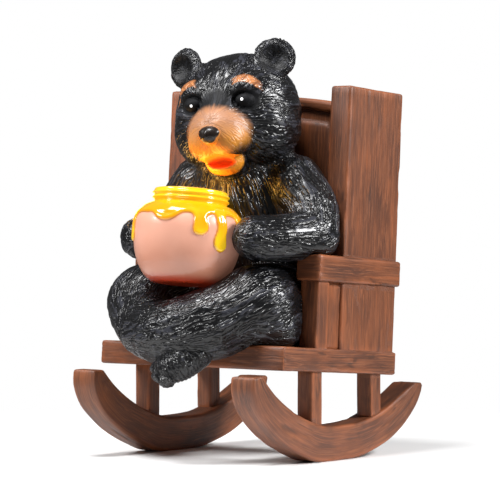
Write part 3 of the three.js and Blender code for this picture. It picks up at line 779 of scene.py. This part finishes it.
def bear_parts(points):
    """Each big form's skin, the way its fur is combed and how widely it melts into the forms before it."""
    parts = []
    p = in_head(points)
    from_nose = p - [0, -40, -8]
    parts.append((head_skin(p), unit(from_nose) @ head_axes.T, 0))
    for side in (-1, 1):
        centre, turn = ear_frame(side)
        q = (p - centre) @ turn
        ear = press(egg(q, (0, 0, 0), EAR_RADII), egg(q, *EAR_HOLLOW), 1.5)
        parts.append((ear, unit(q * [1, 0.2, 1]) @ turn.T @ head_axes.T, 3))
    trunk = melt(egg(points, *BELLY), egg(points, *CHEST), 9)
    neck, _ = roll(points, bent(NECK))
    down = unit(points * [0.02, 0, 0] - [0, 0, 1])
    parts.append((melt(trunk, neck, 8), down, 4))
    for side, arm in ((1, ARM), (-1, mirror(ARM))):
        skin, arm_way = roll(points, bent(arm))
        elbow = egg(points, np.multiply(ELBOW[0], [side, 1, 1]), ELBOW[1])
        parts.append((melt(skin, elbow, 6), arm_way, 5))
    for thigh, shin in ((LEFT_THIGH, LEFT_SHIN), (RIGHT_THIGH, RIGHT_SHIN)):
        upper, upper_way = roll(points, bent(thigh))
        if thigh is LEFT_THIGH:
            upper = melt(upper, egg(points, *HAUNCH), 7)
        lower, lower_way = roll(points, bent(shin))
        share = (1 / (1 + np.exp(np.clip((lower - upper) / 3, -30, 30))))[:, None]
        parts.append((melt(upper, lower, 8), unit(lower_way * share + upper_way * (1 - share)), 3))
    foot, foot_way = roll(points, bent(FOOT))
    for toe in TOES:
        foot = melt(foot, egg(points, *toe), 1.6)
    parts.append((foot, np.cross(foot_way, [0.5, -0.8, 0.2]), 1.2))
    return parts


def bear_skin(points):
    parts = bear_parts(points)
    skin = parts[0][0]
    for part, _, width in parts[1:]:
        skin = melt(skin, part, width)
    return skin


def comb(points):
    """The way the fur lies at each point, mixed from the forms it is near."""
    parts = bear_parts(points)
    skins = np.stack([skin for skin, _, _ in parts])
    shares = np.exp(-np.clip((skins - skins.min(0)) / 2.5, 0, 30))
    way = sum(share[:, None] * w for share, (_, w, _) in zip(shares, parts))
    return unit(way)


def block_room(points, low, high):
    """Distance outside a block, negative inside."""
    low, high = np.array(low, float), np.array(high, float)
    q = np.abs(points - (low + high) / 2) - (high - low) / 2
    return length(np.maximum(q, 0)) + np.minimum(q.max(1), 0)


def chair_room(points):
    """Distance to the chair's boards, with the gap that the castings keep."""
    upright = leaned(points, -RECLINE)
    sides = both_sides(upright)
    top = WING_HIGH[2] + 6
    rooms = [
        block_room(upright, SEAT_LOW, SEAT_HIGH),
        block_room(upright, (-BACK_HALF - 1, BACK_FRONT - 2, IN_SEAT), (BACK_HALF + 1, BACK_REAR, top)),
        block_room(upright, (-BACK_HALF - 1, BACK_FRONT - CREST_PROUD, BACK_TOP - CREST_HEIGHT),
                   (BACK_HALF + 1, BACK_REAR + 2, top)),
        block_room(sides, WING_LOW, WING_HIGH),
        block_room(sides, ARM_LOW, ARM_HIGH),
        block_room(sides, (POST_INNER, POST_SPANS[0][0], POST_FOOT),
                   (POST_OUTER, POST_SPANS[2][1], ARM_HIGH[2])),
    ]
    return np.min(rooms, axis=0) - GAP


# The jar's outside, from the middle of its foot to the middle of its mouth
rim = next(i for i, (r, z) in enumerate(profile) if z > JAR_HEIGHT - 0.5)
jar_side = [(0, 0)] + [(r, z) for r, z in profile[:rim] if r > 0]
jar_side = np.array(jar_side + [(NECK_RADIUS, JAR_HEIGHT), (0, JAR_HEIGHT)])


def jar_room(points):
    """Distance to the jar, with the gap that the castings keep."""
    q = leaned(points - JAR_CENTRE, -JAR_LEAN)
    r, z = np.hypot(q[:, 0], q[:, 1]), q[:, 2]
    room = np.full(len(points), float(FAR))
    close = (r < BELLY_RADIUS + FAR) & (z > -FAR) & (z < JAR_HEIGHT + FAR)
    at = np.stack([r[close], z[close]], 1)
    best = np.full(len(at), 1e9)
    for a, b in zip(jar_side[:-1:2], jar_side[2::2]):
        along = b - a
        t = np.clip(((at - a) @ along) / max(along @ along, 1e-9), 0, 1)
        best = np.minimum(best, length(at - a - t[:, None] * along))
    level = (at[:, 1] > 0) & (at[:, 1] < JAR_HEIGHT)
    within = level & (at[:, 0] < jar_radius(np.clip(at[:, 1], 0, JAR_HEIGHT)))
    room[close] = np.where(within, -best, best)
    return room - HONEY_LIP - GAP


def room_left(points):
    """Distance to the chair and the jar, with the gap that the castings keep."""
    return np.minimum(chair_room(points), jar_room(points))


def clay(points):
    """The bear's whole skin, pressed back from its neighbours."""
    return press(bear_skin(points), room_left(points), 0.8)


CORNERS = np.array([(1, 1, 1), (1, -1, -1), (-1, 1, -1), (-1, -1, 1)], float)


def slope(skin, points, step=0.12):
    """A skin's distance at each point and its outward direction there."""
    values = [skin(points + corner * step) for corner in CORNERS]
    direction = sum(v[:, None] * corner for v, corner in zip(values, CORNERS)) / (4 * step)
    return sum(values) / 4, direction


def settle(points, skin, rounds):
    """Moves each point straight onto the skin."""
    for _ in range(rounds):
        away, way = slope(skin, points)
        points = points - way * (away / np.maximum((way * way).sum(1), 0.05))[:, None]
    return points


def swirl(points, size, seed):
    """A slow wandering direction, which keeps the fur from lying too straight."""
    return np.stack([grain(points / size + 17.3 * k, seed + k) - 0.5 for k in range(3)], 1)


# The comb's direction, worked out once on a lattice through the bear and read between its places
LATTICE = 3.0
lattice_low = np.array([-66.0, -96.0, 36.0])
lattice_count = np.array([45, 45, 72])
ticks = [lattice_low[k] + LATTICE * np.arange(lattice_count[k]) for k in range(3)]
lattice = np.stack(np.meshgrid(*ticks, indexing="ij"), 3).reshape(-1, 3)
lattice_way = unit(comb(lattice) + 0.6 * swirl(lattice, 12, 5) + 0.3 * swirl(lattice, 6, 9))
lattice_way = lattice_way.reshape(*lattice_count, 3)


def fur_way(points):
    """The comb's direction at each point, mixed from the lattice's eight nearest places."""
    at = np.clip((points - lattice_low) / LATTICE, 0, lattice_count - 1.001)
    cell = at.astype(int)
    f = at - cell
    out = 0
    for corner in range(8):
        c = np.array([corner & 1, corner >> 1 & 1, corner >> 2 & 1])
        out = out + np.where(c, f, 1 - f).prod(1)[:, None] * lattice_way[tuple((cell + c).T)]
    return out


def strands(points, normal, width, reach, seed, steps=6):
    """Noise drawn out along the comb: about 0 on average and 1 in size."""
    total = grain(points / width, seed)
    for side in (-1, 1):
        q = points.copy()
        for _ in range(steps):
            d = fur_way(q)
            q = q + side * (reach / steps) * unit(d - normal * (d * normal).sum(1)[:, None])
            total = total + grain(q / width, seed)
    total = total / (2 * steps + 1)
    return (total - total.mean()) / total.std()


def add_ball(centre, radii, rotation=(0, 0, 0)):
    bpy.ops.mesh.primitive_uv_sphere_add(segments=16, ring_count=10, radius=MM, rotation=rotation,
                                         location=(np.array(centre) + AHEAD) * MM, scale=radii)
    balls.append(bpy.context.object)


def remesh(piece, size):
    """One even skin round everything in the piece."""
    apply_modifier(piece, "REMESH", mode="VOXEL", voxel_size=size * MM)


balls = []
for centre, radii, _ in HEAD_LUMPS:
    add_ball(HEAD_CENTRE + head_axes @ np.array(centre), radii, (0, HEAD_TIP, HEAD_TURN))
for side in (-1, 1):
    centre, turn = ear_frame(side)
    add_ball(HEAD_CENTRE + head_axes @ centre, [EAR_RADII[0] - 1.5] * 3)
for centre, radii in (BELLY, CHEST, ELBOW, HAUNCH):
    add_ball(centre, radii)
add_ball(np.multiply(ELBOW[0], [-1, 1, 1]), ELBOW[1])
for stations in (NECK, ARM, mirror(ARM), LEFT_THIGH, RIGHT_THIGH, LEFT_SHIN, RIGHT_SHIN, FOOT):
    for station in bent(stations):
        add_ball(station[:3], [station[3]] * 3)
for centre, radii in TOES:
    add_ball(centre, radii)
bpy.ops.object.select_all(action="DESELECT")
for ball in balls:
    ball.select_set(True)
bpy.context.view_layer.objects.active = balls[0]
bpy.ops.object.join()
bear = bpy.context.object
bear.name = bear.data.name = "bear_casting"
bpy.ops.object.transform_apply(location=True, rotation=True, scale=True)
remesh(bear, 1.5)
balls = []
add_ball(HEAD_CENTRE + head_axes @ np.array(MOUTH[0]), MOUTH[1], (0, HEAD_TIP, HEAD_TURN))
apply_modifier(bear, "BOOLEAN", object=balls[0], operation="DIFFERENCE", solver="MANIFOLD")
bpy.data.objects.remove(balls[0])
write_points(bear, settle(read_points(bear) - AHEAD, clay, 4) + AHEAD)
remesh(bear, 0.56 * coarse)
points = settle(read_points(bear) - AHEAD, clay, 1)

# Combing: broad locks, and strands drawn through them with the wire
_, normal = slope(clay, points)
normal = unit(normal)
strand = strands(points, normal, 3, 16, 3)
lock = strands(points, normal, 5.5, 18, 11)
ridges = np.minimum(np.abs(strand), 1.6) / 1.6
relief = 0.36 * (ridges - 0.6) + 0.24 * np.clip(lock, -2, 2)

q = in_head(points)
sides = both_sides(q)
# How far each point is on the smooth parts: the muzzle and the chin, the eyes, nose and mouth, and the ears
muzzle = smooth(1.25, 0.85, length((q - [0, -30, -13]) / [19.6, 40, 15.5])) * smooth(-20, -26, q[:, 1])
chin = smooth(1.2, 0.9, length((q - [0.8, -30, -30]) / [12, 14, 8.4]))
bare = smooth(3.6, 1.2, egg(sides, EYE, np.multiply(EYE_RADII, 1.1)))
for part in NOSE + [MOUTH]:
    bare = np.maximum(bare, smooth(1.3, 0.2, egg(q, *part)))
bridge = smooth(1.35, 0.8, length((q - [0, -36, 4.5]) / [9.5, 14, 6.5]))
hollow = np.zeros(len(q))
for side in (-1, 1):
    centre, turn = ear_frame(side)
    hollow = np.maximum(hollow, smooth(1.0, 0.4, egg((q - centre) @ turn, *EAR_HOLLOW)))
bare = np.maximum(bare, np.maximum(0.8 * bridge, 0.55 * hollow))
on_foot = smooth(2.5, 0.5, roll(points, bent(FOOT))[0]) * smooth(62, 57, points[:, 2])
free = smooth(0.1, 1.6, room_left(points))
on_brow = smooth(4.5, 2.5, length((sides - [18.5, -26, 17.5]) / [2.2, 3, 1]))
depth = (1 - bare) * (1 - 0.8 * np.maximum(muzzle, chin)) * (1 - 0.8 * on_foot) * (1 - 0.6 * on_brow) * free
foot_line = np.subtract(FOOT[0], FOOT[-1])[:3]
foot_along = (points - FOOT[-1][:3]) @ (foot_line / np.linalg.norm(foot_line))
striped = smooth(-5, -2, foot_along) * smooth(12, 9, foot_along) * on_foot
points = points + normal * (relief * depth + 0.22 * striped * np.sin(foot_along * 2.6))[:, None]
low_corner, high_corner = np.array(cad_box) / MM
points = np.clip(points, low_corner - AHEAD + 0.15, high_corner - AHEAD - 0.15)
write_points(bear, points + AHEAD)
way = fur_way(points)
note(bear, "comb", unit(way - normal * (way * normal).sum(1)[:, None]))
note(bear, "relief", (ridges - 0.5) * depth)
note(bear, "bare", bare)
faces = sum(len(face.vertices) - 2 for face in bear.data.polygons)
MOST_FACES = 196000
if faces > MOST_FACES:
    apply_modifier(bear, "DECIMATE", decimate_type="COLLAPSE", ratio=MOST_FACES / faces,
                   use_collapse_triangulate=True)
only(bear)
bpy.ops.object.shade_smooth()

FUR_BLACK = (0.0035, 0.0035, 0.0042)
FUR_RIDGE_HIGHLIGHT = (0.030, 0.031, 0.039)
TAN_TOP = (0.37, 0.175, 0.094)
TAN_JAR_GLOW = (0.66, 0.25, 0.018)
LID_BROWN = (0.035, 0.020, 0.013)
NOSE_BROWN = (0.012, 0.007, 0.005)
MOUTH_RED = (0.85, 0.20, 0.025)
BROW_TAN = (0.50, 0.20, 0.075)
BROW_DARK = (0.20, 0.07, 0.025)
GLINT_WHITE = (1, 1, 1)


def inside(place, centre, radii, soft):
    """1 inside an egg and 0 outside, changing over soft of its size."""
    return 1 - place.vector("SUBTRACT", centre).vector("DIVIDE", radii).size().ramp(1 - soft, 1 + soft)


black_paint, socket, place = paint("black_paint")
# The place in the head's own axes, in millimetres
millimetres = place.vector("MULTIPLY", (1000, 1000, 1000))
on_head = millimetres.vector("SUBTRACT", tuple(HEAD_CENTRE + AHEAD))
on_head = place.make("VectorRotate", {"rotation_type": "Z_AXIS"}, {"Vector": on_head, "Angle": -HEAD_TURN})
on_head = place.make("VectorRotate", {"rotation_type": "Y_AXIS"}, {"Vector": on_head, "Angle": -HEAD_TIP})
# Hair is noise averaged along the comb, in steps shorter than half a cell of the noise, or it turns to dots
comb_way = kept(place, "comb", "Vector")
HAIR_STEP, HAIR_STEPS, HAIR_CELLS = 0.0011, 7, 480
hair = None
for k in range(-HAIR_STEPS, HAIR_STEPS + 1):
    step = comb_way.vector("SCALE")
    step.socket.node.inputs["Scale"].default_value = HAIR_STEP * k
    sample = place.vector("ADD", step).noise(HAIR_CELLS, 0.0)
    hair = sample if hair is None else hair + sample
hair = hair / (2 * HAIR_STEPS + 1)
height = kept(place, "relief", "Fac")
bare = kept(place, "bare", "Fac")
tuft = abs(hair - 0.5).ramp(0.0, 0.055)
# The tops of the raised strands are painted lighter grey: a painted highlight where light would catch the fur
ridge_highlight = height.ramp(-0.1, 0.3) * tuft
fur = ridge_highlight.blend(FUR_BLACK, FUR_RIDGE_HIGHLIGHT)
# The edges of the tan parts follow the hair
wavy = on_head.vector("ADD", (hair - 0.5).vector("MULTIPLY", (5.0, 0.0, 5.0)))
muzzle = inside(wavy, (-0.6, -34, -13.2), (20, 26, 15), 0.12)
chin = inside(wavy, (0.2, -31, -29.4), (13.2, 13, 9.2), 0.07)
# The tan is peach high up and turns orange-yellow low on the muzzle and chin: the jar's glow, painted into
# the colour
peach_above_glow = on_head.axis("Z").ramp(-26, -4)
tan = muzzle.most(chin)
sides = on_head.vector("ABSOLUTE")
# A brow is a short bow, 22 mm out on the bear's right and 17.6 mm on its left, where it sits higher
left = on_head.axis("X").ramp(-1, 1)
along = sides.axis("X") - (22 - 4.4 * left)
brow_line = 14.8 + 2.2 * left - (0.7 - 0.45 * left) * along - 0.06 * along * along
off_brow = abs(on_head.axis("Z") - brow_line + (hair - 0.5) * 5)
brow = (1 - off_brow.ramp(1.5, 2.6)) * (1 - abs(along + (hair - 0.5) * 9).ramp(6.4, 8.6))
brow = brow * (1 - on_head.axis("Y").ramp(-12, -8))
nose = inside(on_head, (0, -48, -13.8), (6.8, 7, 4.2), 0.04)
nose = nose.most(inside(on_head, (0, -48, -15.6), (5.0, 7, 4.3), 0.04))
mouth = inside(on_head, (MOUTH[0][0], MOUTH[0][1] + 2, MOUTH[0][2]), (9.2, 10.5, 3.7), 0.05)
eye = inside(sides, (EYE[0], EYE[1] - 2, EYE[2]), (6.0, 6.0, 4.4), 0.04)
lid = inside(sides, (EYE[0], EYE[1] - 2, EYE[2]), (7.3, 7.3, 5.6), 0.05) - eye
# The white glints are painted highlights, placed as seen from the front, and they also glow
flat = on_head.vector("MULTIPLY", (1, 0, 1))
GLINT = (0.8, 1, 0.8)
glint = inside(flat, (15.9, 0, 4.8), GLINT, 0.25).most(inside(flat, (-16.0, 0, 3.6), GLINT, 0.25))
glint = glint * (1 - on_head.axis("Y").ramp(-24, -20))
tan_with_painted_glow = (peach_above_glow + (hair - 0.5) * 1.2).blend(TAN_JAR_GLOW, TAN_TOP)
skin = tan.blend(fur, tan_with_painted_glow)
skin = brow.blend(skin, hair.ramp(0.42, 0.58).blend(BROW_DARK, BROW_TAN))
skin = mouth.blend(skin, MOUTH_RED)
skin = nose.blend(skin, NOSE_BROWN)
skin = eye.blend(skin, FUR_BLACK)
skin = (lid.ramp(0.3, 1.0) * 0.5).blend(skin, LID_BROWN)
skin = glint.blend(skin, GLINT_WHITE)
feed(socket["Base Color"], skin)
feed(socket["Roughness"], 0.28 + bare * 0.4 - 0.5 * nose - 0.38 * eye + 0.14 * tan)
# The smooth dark parts are partly metallic, because a metal this black mirrors little and stays dark
feed(socket["Metallic"], 0.65 * bare * (1 - nose) * (1 - mouth) * (1 - eye))
socket["Specular IOR Level"].default_value = 0.45
# The glints glow a little: a painted highlight made to shine, though no lamp is there
feed(socket["Emission Color"], glint.blend((0, 0, 0), GLINT_WHITE))
socket["Emission Strength"].default_value = 0.9
strokes = tuft * (1 - bare) * (1 - 0.6 * tan)
bump = place.make("Bump", None, {"Strength": 1.0, "Distance": 0.00036, "Height": strokes})
feed(socket["Normal"], bump)
bear.data.materials.clear()
bear.data.materials.append(black_paint)
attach(bear, "root")
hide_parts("bear")

# Studio
# A white floor that fades out, soft boxes at the right, above and at the left, and two small lamps for the
# jar's glow. The camera stands where the photograph's was.
bpy.ops.object.select_all(action="DESELECT")
bpy.ops.mesh.primitive_plane_add(size=6, location=(0, 0, 0))
floor = bpy.context.object
floor.name = "floor"
floor_paint, socket, place = paint("floor_paint")
socket["Base Color"].default_value = (0.86, 0.86, 0.86, 1)
socket["Roughness"].default_value = 0.9
feed(socket["Alpha"], 1 - place.size().ramp(0.14, 0.42))
floor.data.materials.append(floor_paint)

world = bpy.data.worlds.new("studio")
scene.world = world
world.use_nodes = True
tree = world.node_tree
backdrop = tree.nodes["Background"]
backdrop.inputs["Color"].default_value = (1, 1, 1, 1)
seen = tree.nodes.new("ShaderNodeLightPath")
strength = tree.nodes.new("ShaderNodeMapRange")
strength.inputs["To Min"].default_value = 0.12
strength.inputs["To Max"].default_value = 1.0
tree.links.new(seen.outputs["Is Camera Ray"], strength.inputs["Value"])
tree.links.new(strength.outputs["Result"], backdrop.inputs["Strength"])


def soft_lamp(name, azimuth, elevation, distance, size, power):
    """A square soft box that faces the bear from the given side."""
    a, e = math.radians(azimuth), math.radians(elevation)
    away = Vector((math.sin(a) * math.cos(e), -math.cos(a) * math.cos(e), math.sin(e)))
    lamp = bpy.data.lights.new(name, "AREA")
    lamp.size = size
    lamp.energy = power
    holder = bpy.data.objects.new(name, lamp)
    holder.location = Vector((0, 0, 0.12)) + away * distance
    holder.rotation_euler = away.to_track_quat("Z", "Y").to_euler()
    scene.collection.objects.link(holder)


soft_lamp("right_soft_box", 108, 29, 0.9, 0.25, 11)
soft_lamp("top_soft_box", -5, 68, 0.9, 0.3, 9.5)
soft_lamp("left_soft_box", -35, 34, 1.0, 0.3, 8)


def warm_lamp(name, place, power, size):
    """A small bulb of honey light, at a place in the jar's own axes."""
    bulb = bpy.data.lights.new(name, "POINT")
    bulb.energy = power
    bulb.color = (1.0, 0.5, 0.09)
    bulb.shadow_soft_size = size
    holder = bpy.data.objects.new(name, bulb)
    holder.location = (leaned([place], JAR_LEAN)[0] + JAR_CENTRE + AHEAD) * MM
    scene.collection.objects.link(holder)


# The jar's light falls out of its neck on the chin, and past its side on the wing at the bear's right
warm_lamp("neck_glow", (0, 0, JAR_HEIGHT - 3), 0.085, 0.01)
warm_lamp("side_glow", (-44, 10, 46), 0.08, 0.012)

AZIMUTH, ELEVATION, DISTANCE = math.radians(38), math.radians(1.0), 1.62
AIM = Vector((0, 0.0032, 0.1148))
back = Vector((math.sin(AZIMUTH) * math.cos(ELEVATION), -math.cos(AZIMUTH) * math.cos(ELEVATION),
               math.sin(ELEVATION)))
right = Vector((math.cos(AZIMUTH), math.sin(AZIMUTH), 0))
up = back.cross(right)
eye_point = AIM + back * DISTANCE
centred = AIM + right * 0.0014 + up * 0.00566  # a small shift that centres the picture as the photograph is
lens = bpy.data.cameras.new("camera")
lens.lens = 197.9
lens.sensor_width = 36
camera = bpy.data.objects.new("camera", lens)
camera.location = eye_point
camera.rotation_euler = (eye_point - centred).to_track_quat("Z", "Y").to_euler()
scene.collection.objects.link(camera)
scene.camera = camera
